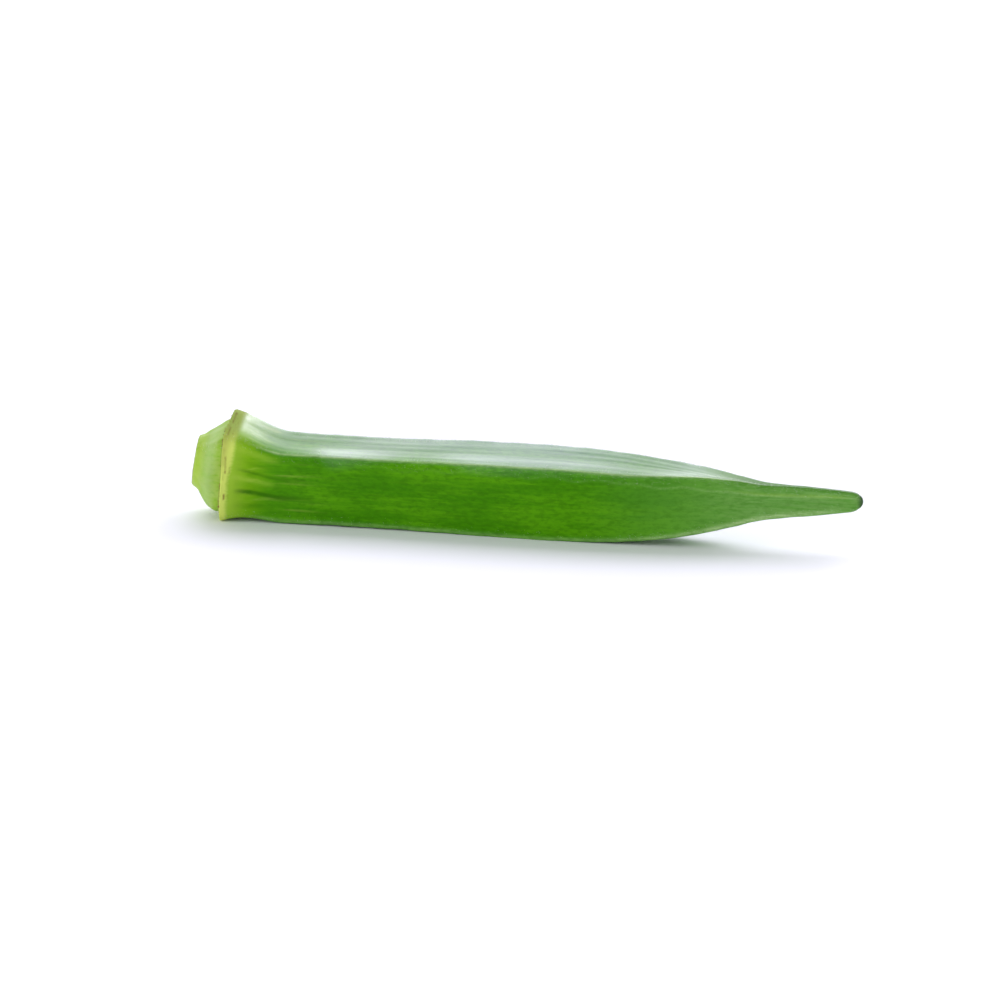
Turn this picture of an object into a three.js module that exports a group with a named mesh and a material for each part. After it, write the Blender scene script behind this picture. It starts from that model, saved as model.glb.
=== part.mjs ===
// An okra pod: five ribs, a ring where the dry calyx fell away, a conical cap and a short cut stem.
// It lies on its two lower ribs, in millimetres with +Z up.
// The stem points to -X, the tip to +X, and the origin is on the surface below the middle of its box.
// Distances along the pod are counted from the ring towards the tip, so the cap's are negative.
// Angles round the pod start at the -Y side and turn up over the top.
import * as THREE from "three";

// Lengths along the pod
const CUT_AT = -7.6;
const RING_AT = 0;
const TIP_AT = 130;
const TIP_DOME = 2.6; // length of the rounded end of the beak
const DOME_BLUNTNESS = 2.2; // 2 is an ellipse, more is blunter

// Ribs: angle round the pod in degrees, on its body and on its beak, and reach for a girth of 1
const RIBS = [
  { name: "near", angle: 41, beakAngle: 66, reach: 1.02 },
  { name: "top", angle: 101, beakAngle: 130, reach: 1.0 },
  { name: "far", angle: 170, beakAngle: 186, reach: 0.97 },
  { name: "far foot", angle: 239, beakAngle: 247, reach: 0.98 },
  { name: "near foot", angle: 310, beakAngle: 315, reach: 1.08 },
];
const RIBS_DRIFT_OVER = [80, 118]; // where the ribs turn from their body angle to their beak angle
const RIDGE_HEIGHT = 0.22; // the narrow crest on each rib
const RIDGE_WIDTH = 0.9;
const CAP_RIDGE_HEIGHT = 0.3; // the softer ridges that run on over the cap
const CAP_RIDGE_WIDTH = 1.4;

// Girth, the radius to a rib's crest: [distance from the ring, radius]
const CAP_GIRTH = [
  [-7.6, 4.85],
  [-7.25, 5.25],
  [-6.2, 5.8],
  [-5.0, 6.95],
  [-3.6, 8.15],
  [-2.2, 8.85],
  [-1.1, 9.4],
  [-0.5, 10.1],
  [0, 11.4],
];
const POD_GIRTH = [
  [0, 11.4],
  [1.2, 11.15],
  [4, 10.3],
  [9, 9.45],
  [16, 9.2],
  [35, 9.1],
  [55, 9.45],
  [66, 9.5],
  [78, 9.1],
  [88, 8.2],
  [97, 6.9],
  [105, 5.1],
  [111, 3.7],
  [119, 2.95],
  [125, 2.35],
  [130, 1.85],
];
// How sharply the five sides meet: a low power is nearly round, a high one is a crisp pentagon
const SIDE_POWER = [
  [-7.6, 4],
  [0, 6.5],
  [20, 18],
  [100, 18],
  [112, 14],
  [130, 6],
];
// Depth of the shallow valley along the middle of each side
const VALLEY_DEPTH = [
  [-7.6, 0],
  [-1, 0.25],
  [0, 0.2],
  [8, 0.45],
  [16, 0.5],
  [40, 0.35],
  [90, 0.3],
  [110, 0.25],
  [130, 0.05],
];

// The pod's bend: its ring and its tip stand higher than its middle, and it bows a little to +Y
const RING_LIFT = 2.0;
const RING_LIFT_OVER = [1, 14];
const STEM_RISE = 0.6;
const CAP_SAG = 0.9; // how far the cap hangs lower than the line from the ring to the stem
const CAP_SAG_AT = -3.9;
const CAP_SAG_WIDTH = 2.2;
const TIP_LIFT = 2.3;
const TIP_LIFT_OVER = [84, 140];
const SIDE_BOW = 0.8;
// The ring's slant: how far it moves towards the tip at the top and at the near side
const RING_SLANT_TOP = 1.0;
const RING_SLANT_NEAR = 1.5;
const SLANT_FADES_OVER = 18;
const SLANT_LEFT_AT_CUT = 0.85;
const CAP_ROUNDS_OVER = [1, 6]; // behind the ring, the five sides turn into a round stem

// How it lies: turned about its length, then tipped, then set down so that the two ribs press flat
const REST_ROLL = 0.47;
const REST_TILT = -0.1;
const REST_HEIGHT = 8.2;

// Rings of points along the pod: [from, to, steps]
const STRETCHES = [
  [CUT_AT, -7.2, 2],
  [-7.2, -1.2, 9],
  [-1.2, RING_AT, 5],
  [RING_AT, 4, 5],
  [4, 18, 8],
  [18, 92, 37],
  [92, TIP_AT - TIP_DOME, 21],
];
const DOME_STEPS = 6;
const STEPS_PER_SIDE = 10;
const CRESTWARD = 0.6; // how much the points of a side crowd towards its ribs, 0 to 1

const FRESH_GREEN = 0x4a8420;

function smoothStep(from, to, x) {
  const t = Math.min(Math.max((x - from) / (to - from), 0), 1);
  return t * t * (3 - 2 * t);
}

// A smooth curve through the points, with no overshoot between them.
function curveThrough(points) {
  const slopes = points.slice(1).map((p, i) => (p[1] - points[i][1]) / (p[0] - points[i][0]));
  const tangents = points.map((_, i) => {
    if (i === 0) return slopes[0];
    if (i === slopes.length) return slopes[i - 1];
    const product = slopes[i - 1] * slopes[i];
    return product > 0 ? (2 * product) / (slopes[i - 1] + slopes[i]) : 0;
  });
  return (x) => {
    let i = 0;
    while (i < slopes.length - 1 && x >= points[i + 1][0]) i += 1;
    const [x0, y0] = points[i];
    const [x1, y1] = points[i + 1];
    const width = x1 - x0;
    const t = Math.min(Math.max((x - x0) / width, 0), 1);
    return (
      (1 + 2 * t) * (1 - t) ** 2 * y0 +
      t * (1 - t) ** 2 * width * tangents[i] +
      t * t * (3 - 2 * t) * y1 +
      t * t * (t - 1) * width * tangents[i + 1]
    );
  };
}

const capGirth = curveThrough(CAP_GIRTH);
const podGirth = curveThrough(POD_GIRTH);
const sidePower = curveThrough(SIDE_POWER);
const valleyDepth = curveThrough(VALLEY_DEPTH);

function girth(along) {
  const domed = Math.min(Math.max((along - TIP_AT + TIP_DOME) / TIP_DOME, 0), 1);
  const full = along < RING_AT ? capGirth(along) : podGirth(along);
  return full * (1 - domed ** DOME_BLUNTNESS) ** (1 / DOME_BLUNTNESS);
}

// Each rib's angle in radians, at a distance along the pod.
function ribAngles(along) {
  const drift = smoothStep(RIBS_DRIFT_OVER[0], RIBS_DRIFT_OVER[1], along);
  return RIBS.map((rib) =>
    THREE.MathUtils.degToRad(THREE.MathUtils.lerp(rib.angle, rib.beakAngle, drift)),
  );
}

function turnOnwards(angle) {
  const full = 2 * Math.PI;
  return ((angle % full) + full) % full;
}

// How far the surface is from the pod's middle line, at a distance along it and an angle round it.
function reach(along, angle) {
  const radius = girth(along);
  const power = sidePower(along);
  const round = smoothStep(CAP_ROUNDS_OVER[0], CAP_ROUNDS_OVER[1], -along);
  const ribs = ribAngles(along);
  let sides = 0;
  let valley = 0;
  let podCrest = 0;
  let capCrest = 0;
  RIBS.forEach((rib, i) => {
    const next = RIBS[(i + 1) % RIBS.length];
    const here = ribs[i];
    const there = ribs[(i + 1) % RIBS.length];
    // the straight side from this rib to the next, as the distance and direction of its line
    const start = new THREE.Vector2(Math.cos(here), Math.sin(here));
    start.multiplyScalar(THREE.MathUtils.lerp(rib.reach, 1, round));
    const end = new THREE.Vector2(Math.cos(there), Math.sin(there));
    end.multiplyScalar(THREE.MathUtils.lerp(next.reach, 1, round));
    const outward = new THREE.Vector2(end.y - start.y, start.x - end.x).normalize();
    const facing = Math.cos(angle) * outward.x + Math.sin(angle) * outward.y;
    sides += Math.max(facing / outward.dot(start), 1e-9) ** power;
    const span = turnOnwards(there - here);
    const past = turnOnwards(angle - here);
    if (past < span) valley = Math.sin((Math.PI * past) / span) ** 2;
    const arc = (turnOnwards(angle - here + Math.PI) - Math.PI) * Math.max(radius, 0.5);
    podCrest += Math.exp(-((arc / RIDGE_WIDTH) ** 2));
    capCrest += Math.exp(-((arc / CAP_RIDGE_WIDTH) ** 2));
  });
  const fiveSided = (sides / 2) ** (-1 / power);
  const onPod = smoothStep(-1.5, 3, along) * (1 - smoothStep(122, 129.5, along));
  const onCap = smoothStep(-7, -5, along) * (1 - smoothStep(-1.8, -0.6, along));
  return (
    radius * THREE.MathUtils.lerp(fiveSided, 1, round) +
    RIDGE_HEIGHT * podCrest * onPod +
    CAP_RIDGE_HEIGHT * capCrest * onCap -
    valleyDepth(along) * valley
  );
}

function middleLine(along) {
  const raised = RING_LIFT * (1 - smoothStep(RING_LIFT_OVER[0], RING_LIFT_OVER[1], along));
  const stem = STEM_RISE * smoothStep(0, -CUT_AT, -along);
  const sag = CAP_SAG * Math.exp(-(((along - CAP_SAG_AT) / CAP_SAG_WIDTH) ** 2));
  const beak =
    smoothStep(TIP_LIFT_OVER[0], TIP_LIFT_OVER[1], along) /
    smoothStep(TIP_LIFT_OVER[0], TIP_LIFT_OVER[1], TIP_AT);
  const bow = SIDE_BOW * Math.sin(Math.PI * Math.min(Math.max(along / TIP_AT, 0), 1));
  return new THREE.Vector3(along, bow, raised + stem - sag + TIP_LIFT * beak);
}

// A point of the skin, or, at scale 0, the point of the middle line inside it.
function skinPoint(along, angle, scale = 1) {
  const radius = reach(along, angle) * scale;
  const slant =
    (RING_SLANT_TOP * Math.sin(angle) + RING_SLANT_NEAR * Math.cos(angle)) *
    (1 - smoothStep(0, SLANT_FADES_OVER, along)) *
    (1 - (1 - SLANT_LEFT_AT_CUT) * smoothStep(0, -CUT_AT, -along));
  const share = Math.min(1, radius / Math.max(girth(along), 0.5));
  const point = middleLine(along);
  point.x += slant * share;
  point.y -= radius * Math.cos(angle);
  point.z += radius * Math.sin(angle);
  return point;
}

// From the pod's own lie to the way it rests, with what would sink in pressed flat.
function setDown(point) {
  point.applyAxisAngle(new THREE.Vector3(1, 0, 0), THREE.MathUtils.degToRad(REST_ROLL));
  point.applyAxisAngle(new THREE.Vector3(0, -1, 0), THREE.MathUtils.degToRad(REST_TILT));
  point.z = Math.max(point.z + REST_HEIGHT, 0);
  return point;
}

function stations() {
  const list = [CUT_AT];
  for (const [from, to, steps] of STRETCHES) {
    for (let i = 1; i <= steps; i += 1) list.push(from + ((to - from) * i) / steps);
  }
  for (let i = 1; i < DOME_STEPS; i += 1) {
    list.push(TIP_AT - TIP_DOME + TIP_DOME * Math.sin((Math.PI / 2) * (i / DOME_STEPS)));
  }
  return list;
}

// The angles of a ring's points, which crowd towards the ribs.
function anglesRound(along) {
  const list = [];
  const ribs = ribAngles(along);
  ribs.forEach((rib, i) => {
    const span = turnOnwards(ribs[(i + 1) % ribs.length] - rib);
    for (let k = 0; k < STEPS_PER_SIDE; k += 1) {
      const t = k / STEPS_PER_SIDE;
      const crowded = t - (CRESTWARD * Math.sin(2 * Math.PI * t)) / (2 * Math.PI);
      list.push(rib + span * crowded);
    }
  });
  return list;
}

// The closed skin: rings of points joined by bands, a flat cut end and a pole at the tip.
function podGeometry() {
  const along = stations();
  const around = RIBS.length * STEPS_PER_SIDE;
  const points = along.flatMap((s) => anglesRound(s).map((a) => setDown(skinPoint(s, a))));
  const cutCentre = points.push(setDown(skinPoint(CUT_AT, 0, 0))) - 1;
  const tipPole = points.push(setDown(skinPoint(TIP_AT, 0, 0))) - 1;
  const index = [];
  for (let i = 0; i < along.length - 1; i += 1) {
    for (let k = 0; k < around; k += 1) {
      const a = i * around + k;
      const b = i * around + ((k + 1) % around);
      const c = a + around;
      const d = b + around;
      index.push(a, d, b);
      index.push(a, c, d);
    }
  }
  const lastRing = (along.length - 1) * around;
  for (let k = 0; k < around; k += 1) {
    const next = (k + 1) % around;
    index.push(cutCentre, k, next);
    index.push(tipPole, lastRing + next, lastRing + k);
  }
  const geometry = new THREE.BufferGeometry().setFromPoints(points);
  geometry.setIndex(index);
  geometry.computeBoundingBox();
  const middle = geometry.boundingBox.getCenter(new THREE.Vector3());
  geometry.translate(-middle.x, -middle.y, 0);
  geometry.computeVertexNormals();
  return geometry;
}

function okraPod() {
  const skin = new THREE.MeshStandardMaterial({
    color: FRESH_GREEN,
    roughness: 0.5,
    metalness: 0,
  });
  const pod = new THREE.Mesh(podGeometry(), skin);
  pod.name = "okra_pod";
  return pod;
}

const part = new THREE.Group();
part.add(okraPod());

export default part;
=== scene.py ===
"""Okra pod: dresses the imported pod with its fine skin, dry ring, cut stem, down and dark tip, on a pale stage.

Lengths in this file are in millimetres unless a name or a property says otherwise, and meshes are in metres.
Distances along the pod are counted from its ring towards the tip, so the cap's are negative.
Angles round the pod start at the -Y side and turn up over the top. "Up" is the sine of that angle.
A pair named OVER says where something begins to change and where it has changed.
Four places say where something starts, is full, fades and ends.
"""

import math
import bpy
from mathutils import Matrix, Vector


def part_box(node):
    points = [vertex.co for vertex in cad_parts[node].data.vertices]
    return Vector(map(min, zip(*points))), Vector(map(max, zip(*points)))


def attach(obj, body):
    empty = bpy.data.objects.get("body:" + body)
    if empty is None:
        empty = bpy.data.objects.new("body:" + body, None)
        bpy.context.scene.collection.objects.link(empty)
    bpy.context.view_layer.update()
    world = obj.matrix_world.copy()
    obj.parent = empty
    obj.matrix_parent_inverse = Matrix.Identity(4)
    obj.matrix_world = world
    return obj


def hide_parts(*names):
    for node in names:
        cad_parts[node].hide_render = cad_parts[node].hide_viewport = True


bl_info = {
    "name": "Okra Pod",
    "version": (1, 0, 0),
    "blender": (4, 5, 0),
    "location": "3D Viewport > Sidebar > Okra",
    "description": "Grows a ribbed okra pod with its ring, cut stem, down and tip, and sets a pale stage",
    "category": "Add Mesh",
}

import bpy
import numpy as np
from bpy.props import FloatProperty, FloatVectorProperty, IntProperty, PointerProperty
from mathutils import Vector

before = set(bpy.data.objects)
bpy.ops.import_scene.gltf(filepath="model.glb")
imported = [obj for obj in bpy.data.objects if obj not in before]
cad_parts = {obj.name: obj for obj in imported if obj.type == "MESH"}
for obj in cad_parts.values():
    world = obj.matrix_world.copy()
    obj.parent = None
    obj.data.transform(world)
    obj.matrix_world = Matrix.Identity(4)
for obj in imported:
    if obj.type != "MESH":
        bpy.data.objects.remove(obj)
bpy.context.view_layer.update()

NODE = "okra_pod"
BODY = "root"
MM = 0.001
TURN = 2 * math.pi
SEED = 11

# The pod's form, as in the solid that it replaces
CUT_AT = -7.6
TIP_AT = 130.0
TIP_DOME = 2.6
DOME_BLUNTNESS = 2.2
RIB_ANGLES = (41.0, 101.0, 170.0, 239.0, 310.0)
BEAK_ANGLES = (66.0, 130.0, 186.0, 247.0, 315.0)
RIBS_DRIFT_OVER = (80.0, 118.0)
RIB_REACHES = (1.02, 1.0, 0.97, 0.98, 1.08)
RIBS = len(RIB_ANGLES)
RIDGE_HEIGHT, RIDGE_WIDTH = 0.22, 0.9
RIDGES_PLACES = (-1.5, 3.0, 122.0, 129.5)
CAP_RIDGE_HEIGHT, CAP_RIDGE_WIDTH = 0.3, 1.4
CAP_RIDGES_PLACES = (-7.0, -5.0, -1.8, -0.6)
CAP_GIRTH = (
    (-7.6, 4.85), (-7.25, 5.25), (-6.2, 5.8), (-5.0, 6.95), (-3.6, 8.15),
    (-2.2, 8.85), (-1.1, 9.4), (-0.5, 10.1), (0.0, 11.4),
)
POD_GIRTH = (
    (0.0, 11.4), (1.2, 11.15), (4.0, 10.3), (9.0, 9.45), (16.0, 9.2), (35.0, 9.1), (55.0, 9.45), (66.0, 9.5),
    (78.0, 9.1), (88.0, 8.2), (97.0, 6.9), (105.0, 5.1), (111.0, 3.7), (119.0, 2.95), (125.0, 2.35),
    (130.0, 1.85),
)
SIDE_POWER = ((-7.6, 4.0), (0.0, 6.5), (20.0, 18.0), (100.0, 18.0), (112.0, 14.0), (130.0, 6.0))
VALLEY_DEPTH = (
    (-7.6, 0.0), (-1.0, 0.25), (0.0, 0.2), (8.0, 0.45), (16.0, 0.5),
    (40.0, 0.35), (90.0, 0.3), (110.0, 0.25), (130.0, 0.05),
)
RING_LIFT, RING_LIFT_OVER = 2.0, (1.0, 14.0)
STEM_RISE = 0.6
CAP_SAG, CAP_SAG_AT, CAP_SAG_WIDTH = 0.9, -3.9, 2.2
TIP_LIFT, TIP_LIFT_OVER = 2.3, (84.0, 140.0)
SIDE_BOW = 0.8
RING_SLANT_TOP, RING_SLANT_NEAR = 1.0, 1.5
SLANT_FADES_OVER, SLANT_LEFT_AT_CUT = 18.0, 0.85
CAP_ROUNDS_OVER = (1.0, 6.0)
REST_ROLL, REST_TILT, REST_HEIGHT = 0.47, -0.1, 8.2
LEAST_GIRTH, LEAST_FACING = 0.5, 1e-9

# How finely the skin is drawn: [from, to, steps] along the pod, and points round it
STRETCHES = (
    (CUT_AT, -7.2, 4), (-7.2, -1.6, 28), (-1.6, 1.4, 26), (1.4, 18.0, 48), (18.0, 100.0, 150),
    (100.0, TIP_AT - TIP_DOME, 62),
)
DOME_STEPS = 12
STEPS_PER_SIDE = 50
CRESTWARD = 0.5
CUT_FACE_RINGS = 14
PLACE_STEPS = 500

# The skin's fine unevenness. Waves of chance: [height, turns round the pod, lengths along it, how many, seed]
WAVES = {
    "lumps": (0.03, (1, 6), (24.0, 80.0), 14, SEED),
    "veins": (0.007, (26, 44), (60.0, 160.0), 9, SEED + 1),
    "crest_lumps": (0.028, (0, 3), (4.0, 13.0), 10, SEED + 2),
    "cap_folds": (0.06, (9, 22), (18.0, 60.0), 9, SEED + 3),
    "torn_lip": (0.07, (14, 60), (2.0, 8.0), 16, SEED + 4),
    "rim_nicks": (0.06, (8, 30), (3.0, 9.0), 10, SEED + 5),
    "cut_fibres": (0.04, (5, 18), (3.0, 7.0), 8, SEED + 6),
    "flake_clumps": (0.5, (3, 24), (5.0, 9.0), 12, SEED + 7),
    "vein_wander": (1.0, (0, 0), (7.0, 30.0), 6, SEED + 9),
}
RELIEF_PLACES, CAP_RELIEF_PLACES = (0.5, 6.0, 120.0, 128.0), (-7.3, -6.0, -1.4, -0.7)
CREST_LUMPS_WIDTH, CREST_LUMPS_PLACES = 1.1, (1.0, 6.0, 122.0, 128.0)
LIP_AT, LIP_WIDTH, LIP_LIFT = 0.1, 0.35, 0.06
RIM_NICKS_END_OVER = (-7.5, -7.0)
# Grooves round the pod, before the lip, behind it and at the tip: [depth, place along, width]
GROOVES = ((0.22, -0.75, 0.3), (0.1, 1.7, 0.6), (0.07, TIP_AT - 0.75, 0.2))

# The cut stem: its hollow, and the ring of bundles that stands in it, by the share of the way out
CUT_HOLLOW, CUT_HOLLOW_OVER, CUT_MIDDLE_SUNK = 0.25, (0.0, 0.3), 0.22
BUNDLES_AT, BUNDLES_WIDTH, BUNDLES_HEIGHT = 0.62, 0.1, 0.1
CUT_FIBRES_SPREAD = 9.0

# Lines on the skin
VEIN_PLACES = (0.46, 0.5, 0.55, 0.5, 0.92)
VEIN_BEAK_PLACES = (0.46, 0.5, 0.55, 0.5, 0.76)
# The crest line is partly the crest's own paler tone and down, partly a painted highlight, set a little past
# each crest
VEIN_WIDTH, CREST_LINE_WIDTH, CREST_HIGHLIGHT_PAST = 0.22, 0.3, 0.3
VEIN_WANDER, BEAK_VEIN_WANDER = 0.015, 0.006
# The wax on the uppermost side, which also carries a painted sheen: a pale blue-grey that stands in for the
# sky's reflection there
WAX_SHEEN_RIBS = (0, 1, 2, 3)
WAX_SHEEN_CLIMBS_OVER, WAX_SHEEN_THINS_OVER, WAX_SHEEN_ENDS_OVER = (0.2, 0.9), (0.0, 0.5), (0.3, 1.0)
WAX_SHEEN_BEHIND = 0.4
WAX_SHEEN_STARTS_OVER = (1.8, 3.4)
# How far down the side the wax and painted sheen reach along the pod. The swell between 24 and 31 is a painted
# highlight
WAX_SHEEN_WIDENS = (
    (0.0, 0.12), (12.0, 0.1), (18.0, 0.1), (24.0, 0.5), (31.0, 0.38), (42.0, 0.15), (54.0, 0.42), (80.0, 0.34),
    (100.0, 0.25),
)
WAX_SHEEN_STRENGTH = (
    (0.0, 0.95), (10.0, 0.95), (16.0, 0.82), (22.0, 0.82), (30.0, 1.0), (40.0, 1.0), (46.0, 0.9), (54.0, 0.8),
    (72.0, 0.8), (82.0, 0.6), (88.0, 0.42), (95.0, 0.42), (104.0, 0.0),
)
# A thinner streak of the wax and painted sheen along the middle of the uppermost side: [how much thinner, its
# place up the side, its width]
WAX_SHEEN_STREAK, WAX_SHEEN_STREAK_OVER = (0.32, 0.5, 0.17), (8.0, 18.0)
# Long marks, all but the last on the neck: [degrees round, width, tone, four places along]
NECK_LINES = (
    (-22.0, 0.6, -0.9, (1.0, 5.0, 12.0, 24.0)), (-3.0, 0.9, 0.6, (1.0, 3.0, 7.0, 15.0)),
    (9.0, 0.6, -0.5, (1.5, 5.0, 12.0, 24.0)), (34.0, 0.8, 0.5, (1.5, 4.0, 9.0, 16.0)),
    (22.0, 0.5, -0.25, (2.0, 6.0, 14.0, 26.0)), (-38.0, 0.6, -0.3, (1.0, 4.0, 8.0, 18.0)),
    (118.0, 0.6, -0.7, (1.5, 5.0, 12.0, 22.0)), (133.0, 0.9, 0.5, (1.0, 4.0, 9.0, 18.0)),
    (150.0, 0.5, -0.8, (1.5, 6.0, 14.0, 24.0)), (186.0, 0.6, -0.7, (1.5, 6.0, 12.0, 24.0)),
    (200.0, 0.9, 0.5, (1.0, 4.0, 8.0, 18.0)), (218.0, 0.5, -0.8, (2.0, 6.0, 13.0, 20.0)),
    (256.0, 0.7, 0.4, (1.0, 4.0, 9.0, 16.0)), (272.0, 0.5, -0.7, (1.5, 6.0, 14.0, 24.0)),
    (290.0, 0.8, 0.4, (1.0, 4.0, 8.0, 16.0)), (42.0, 0.4, 0.38, (101.0, 110.0, 125.0, 129.0)),
)
# Brown dashes along the ring: [degrees round, half length in degrees], and the shares of it where they fade
DRY_DASHES = (
    (13.0, 11.0), (52.0, 7.0), (78.0, 12.0), (112.0, 9.0), (137.0, 6.0), (163.0, 11.0), (196.0, 8.0),
    (222.0, 12.0), (262.0, 9.0), (287.0, 6.0), (333.0, 3.0),
)
DASH_FADES_OVER = (0.8, 1.1)

# Dry flakes along the lip: [from, to, steps] along the pod, and the height where they begin
FLAKES_STRETCH, FLAKES_ABOVE, FLAKES_USUAL = (-0.75, -0.05, 6), 0.6, 0.35
# Hairs on the ribs: [from, to, steps] along the pod, points round it, and where they grow
DOWN_STRETCHES, DOWN_STEPS_PER_SIDE = ((-7.0, -0.8, 16), (0.6, TIP_AT - 0.6, 230)), 25
DOWN_ROOTS, DOWN_WIDTH, DOWN_LEAST = -0.01, 0.8, 0.03
DOWN_ABOVE, DOWN_NECK_SHARE, DOWN_NECK_OVER, DOWN_GAP_AT_RING = (0.7, 1.6), 0.5, (2.0, 20.0), 0.5
# Scattered growth: [smallest as a share of the longest, how far it leans to the tip, how far it strays]
GROWTHS = {"ring_flakes": (0.3, 0.35, 0.5), "pod_down": (0.35, 0.55, 0.4)}
# A hair a millimetre long: [height, bend, radius] of its two rings, and its point
HAIR_RINGS, HAIR_SIDES, HAIR_POINT = ((-0.08, 0.0, 0.036), (0.5, 0.03, 0.024)), 3, (0.16, 0.0, 1.0)
# A flake a millimetre long: [height, half width] of its steps
FLAKE_STEPS = ((0.0, 0.16), (0.35, 0.2), (0.7, 0.15), (1.0, 0.04))
FLAKE_THICK, FLAKE_CURL, FLAKE_TAPER, FLAKE_ROOT = 0.05, 0.22, 0.9, 0.12

# Where the skin's looks change along the pod, or up its side where the name says so
TIP_DULLS_OVER, TIP_ROUGHENS_OVER, BEAK_STREAKS_OVER = (72.0, 110.0), (98.0, 114.0), (92.0, 112.0)
# Painted shade darkens the beak's upper rim: where it sets in along the pod and up its side
BEAK_RIM_OVER, BEAK_RIM_UP_OVER = (98.0, 108.0), (0.78, 0.96)
VEINS_OVER, WAX_AND_SHEEN_GROW_OVER = (20.0, 60.0), (30.0, 60.0)
FRESH_NECK_OVER, YELLOW_NECK_OVER, CREAM_NECK_OVER = (3.0, 18.0), (1.5, 12.0), (1.0, 6.0)
NECK_STREAKS_PLACES, NECK_SHINES_OVER = (2.0, 8.0, 10.0, 26.0), (12.0, 24.0)
RIB_LINES_PLACES, UPPER_RIB_LINES_END_OVER = (3.0, 12.0, 118.0, 128.0), (100.0, 114.0)
UPPER_SIDE_UP_OVER, LOW_SIDE_UP_OVER = (-0.3, 0.3), (-0.8, -0.4)
BAND_STARTS_OVER, BAND_FACE_OVER, CAP_ENDS_OVER = (-0.62, -0.45), (-0.5, 0.2), (-0.75, -0.55)
SCAR_OVER, DRY_RIM_OVER = (129.0, 129.9), (-7.5, -7.25)
# Bands round the pod: [place, width on both sides]
CAP_PALE_BAND, CAP_BLUISH_BAND = (-6.6, 2.2), (-3.6, 2.4)
DRY_LINE, SECOND_DRY_LINE, DRY_GROOVE = (0.75, 0.36), (1.6, 0.3), (-0.65, 0.35)
# How much darker the shaded green is, and how far the pale green is towards cream
SHADED, PALE = 0.62, 0.4

# Chance patterns of the finishes: [scale along X beside Y and Z, features a millimetre, detail, roughness]
PATTERNS = {
    "streaks": (0.06, 0.8, 4.0, 0.6),
    "fine_streaks": (0.05, 2.6, 3.0, 0.55),
    "blotches": (0.3, 0.14, 2.0, 0.5),
    "grain": (1.0, 5.0, 2.0, 0.5),
    "mottle": (0.45, 1.5, 3.0, 0.65),
    "neck_streaks": (0.05, 0.9, 2.0, 0.5),
    "cap_streaks": (0.3, 0.9, 3.0, 0.6),
    "dashes": (1.0, 0.5, 2.0, 0.7),
    "cut_fibres": (1.0, 2.6, 4.0, 0.6),
    "stain": (1.0, 0.5, 2.0, 0.5),
    "dry_grain": (1.0, 2.2, 3.0, 0.6),
    "hair_tone": (1.0, 0.4, 1.0, 0.5),
    "floor_tone": (1.0, 0.02, 2.0, 0.5),
}

# The stage, in metres. Windows: [name, direction, width and height, how bright they look]
FLOOR_HALF = 8.0
WINDOWS = (
    ("sky_window", (-0.08, 0.73, 0.68), (78.0, 66.0), 2.5),
    ("side_window", (0.26, 0.73, 0.63), (18.0, 15.0), 4.0),
)
WINDOWS_TINT, WINDOWS_AWAY = (0.97, 0.9, 1.1), 60.0
LEFT_LIGHT_TOWARDS, LEFT_LIGHT_STRENGTH, LEFT_LIGHT_DEGREES = (-0.75, -0.62, 0.25), 1.2, 45.0
ROOM_TINT, ROOM_OVERHEAD, ROOM_AT_HORIZON, ROOM_DIMS_OVER = (0.95, 0.975, 1.0), 0.5, 1.07, (0.0, 0.6)
LOOKED_AT = (0.0, 0.0, 8.5 * MM)
SENSOR_WIDTH, SEEN_FROM_TO = 36.0, (0.01, 50.0)


# ---------------------------------------------------------------- form

def smooth_step(low, high, x):
    t = np.clip((x - low) / (high - low), 0.0, 1.0)
    return t * t * (3.0 - 2.0 * t)


def curve_through(points, x):
    """A smooth curve through the points, with no overshoot between them."""
    px, py = (np.array(column) for column in zip(*points))
    widths = np.diff(px)
    slopes = np.diff(py) / widths
    tangents = np.concatenate([slopes[:1], np.zeros(len(slopes) - 1), slopes[-1:]])
    before, after = slopes[:-1], slopes[1:]
    rising = before * after > 0
    tangents[1:-1][rising] = (2 * before * after)[rising] / (before + after)[rising]
    x = np.clip(x, px[0], px[-1])
    i = np.clip(np.searchsorted(px, x, side="right") - 1, 0, len(widths) - 1)
    t = (x - px[i]) / widths[i]
    return (
        (1 + 2 * t) * (1 - t) ** 2 * py[i]
        + t * (1 - t) ** 2 * widths[i] * tangents[i]
        + t * t * (3 - 2 * t) * py[i + 1]
        + t * t * (t - 1) * widths[i] * tangents[i + 1]
    )


def between(places, x):
    """0, then 1 between the second and third of four places, then 0 again."""
    start, full, fading, end = places
    return smooth_step(start, full, x) * (1 - smooth_step(fading, end, x))


def swell(x, place, width):
    """1 at a place, falling away over a width on both sides."""
    return np.exp(-(((x - place) / width) ** 2))


def turned_past(angle, there):
    """How far an angle is past another, from half a turn before it to half a turn after it."""
    return np.mod(angle - there + math.pi, TURN) - math.pi


def girth(along):
    domed = np.clip((along - TIP_AT + TIP_DOME) / TIP_DOME, 0.0, 1.0)
    full = np.where(along < 0, curve_through(CAP_GIRTH, along), curve_through(POD_GIRTH, along))
    return full * (1.0 - domed**DOME_BLUNTNESS) ** (1.0 / DOME_BLUNTNESS)


def arc_past(along, angle, there):
    """The same in millimetres, along the pod's girth."""
    return turned_past(angle, there) * np.maximum(girth(along), LEAST_GIRTH)


def rib_angle(i, along):
    """The angle of a rib, which turns a little from its body to its beak."""
    i %= RIBS
    drift = smooth_step(*RIBS_DRIFT_OVER, along)
    return np.radians(RIB_ANGLES[i] + (BEAK_ANGLES[i] - RIB_ANGLES[i]) * drift)


def side(i, along):
    """Where a side starts, at its rib, and the angle it spans."""
    here = rib_angle(i, along)
    return here, np.mod(rib_angle(i + 1, along) - here, TURN)


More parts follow.
